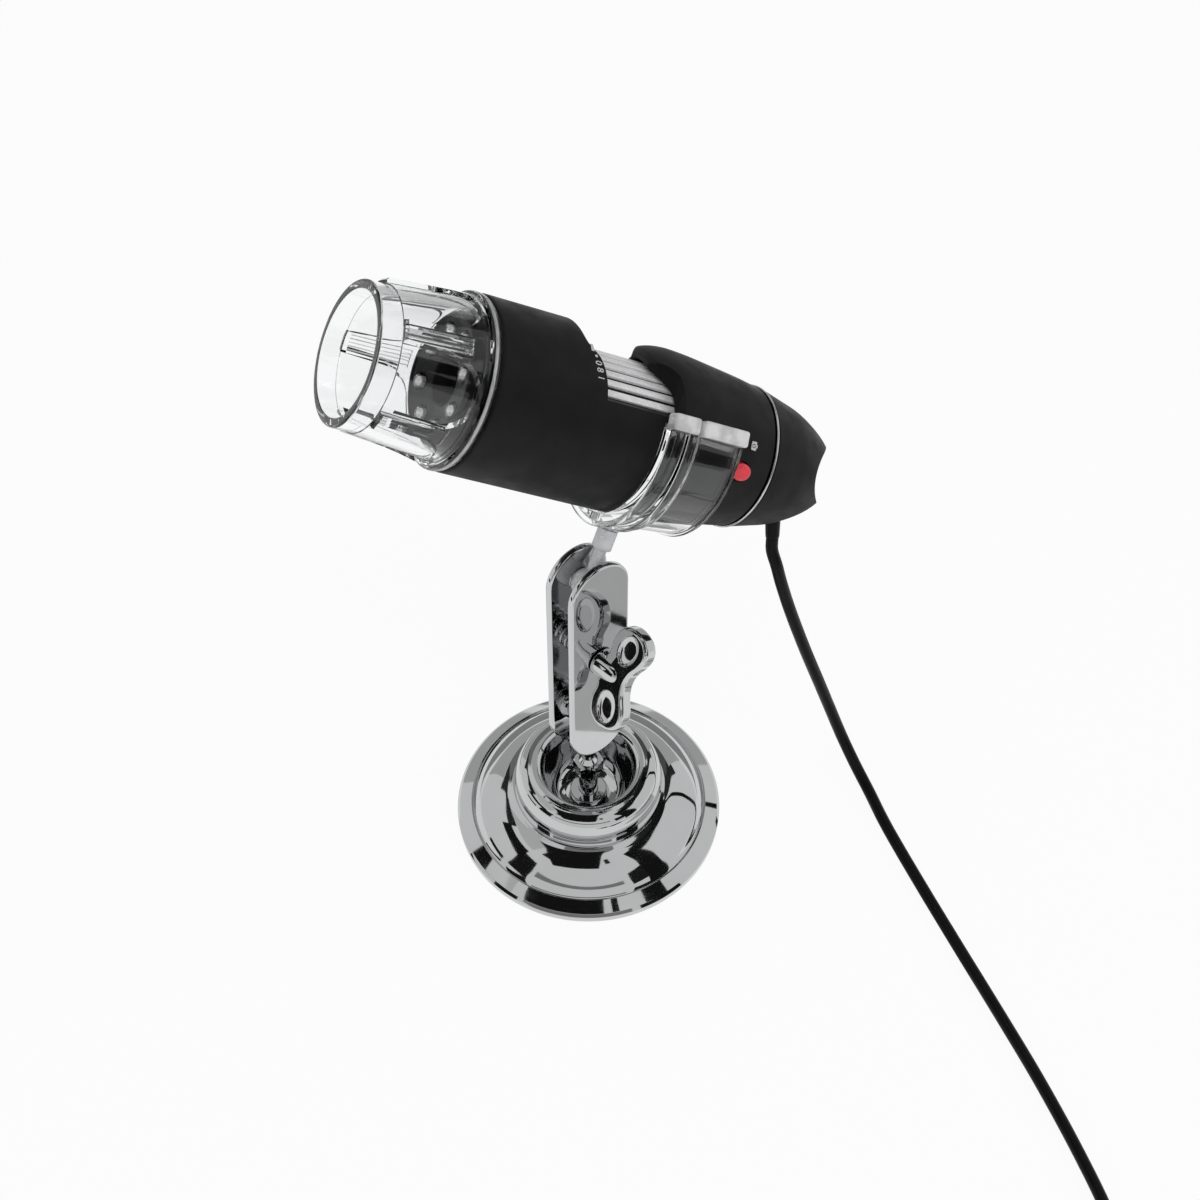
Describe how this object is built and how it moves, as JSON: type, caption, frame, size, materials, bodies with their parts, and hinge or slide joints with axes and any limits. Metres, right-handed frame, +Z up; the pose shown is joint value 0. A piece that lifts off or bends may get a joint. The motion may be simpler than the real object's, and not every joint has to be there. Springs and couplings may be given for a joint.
{
  "type": "usb digital microscope",
  "caption": "Hand-held USB microscope: black barrel with clear nose hood and ribbed focus wheel, in a clear cradle on a chrome ball-joint arm and round weighted foot, with its cord.",
  "frame": {"origin": "centre of the foot pad's underside, on the table", "axes": "+Z up; the viewer of the picture stands at -Y; the barrel's nose points to -X and up"},
  "size_m": [0.1572, 0.2009, 0.1445],
  "materials": {
    "chrome": "polished",
    "steel": "plain",
    "silver_wheel": "satin, ribbed",
    "pad_rubber": "matte",
    "sleeve_rubber": "matte",
    "housing_plastic": "satin",
    "cord_black": "satin",
    "clear_plastic": "clear",
    "milky_plastic": "translucent",
    "lens_glass": "polished",
    "lamp_lens": "clear dome",
    "button_red": "gloss",
    "board_green": "solder mask"
  },
  "bodies": {
    "base": {"base_shell": "chrome", "base_pad": "pad_rubber", "cable_run": "cord_black", "cable_coil": "cord_black", "cable_tie": "cord_black", "plug_body": "housing_plastic", "plug_shell": "steel", "plug_tongue": "milky_plastic"},
    "stud": {"ball_stud": "chrome", "stud_nut": "steel"},
    "arm": {"front_plate": "chrome", "rear_plate": "chrome", "clamp_screw": "chrome", "clamp_spring": "steel"},
    "wing": {"wing_nut": "chrome"},
    "stem": {"ball_stem": "milky_plastic"},
    "cradle": {"cradle": "clear_plastic"},
    "head": {"front_sleeve": "sleeve_rubber", "rear_housing": "housing_plastic", "trim_ring": "chrome", "tail_cap": "housing_plastic", "cable_gland": "sleeve_rubber", "core_tube": "housing_plastic", "lamp_holder": "housing_plastic", "lamp_1": "lamp_lens", "lamp_2": "lamp_lens", "lamp_3": "lamp_lens", "lamp_4": "lamp_lens", "lamp_5": "lamp_lens", "lamp_6": "lamp_lens", "lamp_7": "lamp_lens", "lamp_8": "lamp_lens", "sensor_board": "board_green", "image_sensor": "lens_glass", "button_switch": "housing_plastic"},
    "wheel": {"focus_wheel": "silver_wheel"},
    "carriage": {"lens_carriage": "housing_plastic", "objective_lens": "lens_glass"},
    "button": {"snap_button": "button_red"},
    "hood": {"nose_hood": "clear_plastic"}
  },
  "joints": [
    {"name": "stand_turn", "type": "hinge", "parent": "base", "child": "stud", "pos_m": [0, 0, 0.02], "axis": [0, 0, 1], "range_deg": [-180, 180], "deforming": ["cable_run"]},
    {"name": "arm_swing", "type": "hinge", "parent": "stud", "child": "arm", "pos_m": [0, 0, 0.0366], "axis": [0.6361, -0.7641, 0.1074], "range_deg": [-45, 60], "deforming": ["cable_run"]},
    {"name": "head_swing", "type": "hinge", "parent": "arm", "child": "stem", "pos_m": [0, 0.00543, 0.07522], "axis": [0.6361, -0.7641, 0.1074], "range_deg": [-45, 90], "deforming": ["cable_run"]},
    {"name": "head_twist", "type": "hinge", "parent": "stem", "child": "cradle", "pos_m": [0, 0.00543, 0.07522], "axis": [0.349, 0.5623, 0.7497], "range_deg": [-90, 90], "deforming": ["cable_run"]},
    {"name": "barrel_roll", "type": "hinge", "parent": "cradle", "child": "head", "pos_m": [-0.02392, 0.0169, 0.12137], "axis": [0.8412, 0.1646, -0.515], "range_deg": [-60, 60], "deforming": ["cable_run"]},
    {"name": "wing_nut_turn", "type": "hinge", "parent": "arm", "child": "wing", "pos_m": [0, 0.00288, 0.0571], "axis": [0.6361, -0.7641, 0.1074], "range_deg": [-180, 180]},
    {"name": "focus_turn", "type": "hinge", "parent": "head", "child": "wheel", "pos_m": [-0.02392, 0.0169, 0.12137], "axis": [0.8412, 0.1646, -0.515], "range_deg": [0, 270]},
    {"name": "lens_slide", "type": "slide", "parent": "head", "child": "carriage", "axis": [0.8412, 0.1646, -0.515], "range_m": [0, 0.0081]},
    {"name": "button_press", "type": "slide", "parent": "head", "child": "button", "axis": [-0.4249, 0.7903, -0.4415], "range_m": [0, 0.0006], "stiffness_N_per_m": 800},
    {"name": "hood_slide", "type": "slide", "parent": "head", "child": "hood", "axis": [-0.8412, -0.1646, 0.515], "range_m": [0, 0.008]}
  ],
  "couplings": [
    {"joint": "lens_slide", "follows": "focus_turn", "m_per_rad": 0.0017}
  ]
}
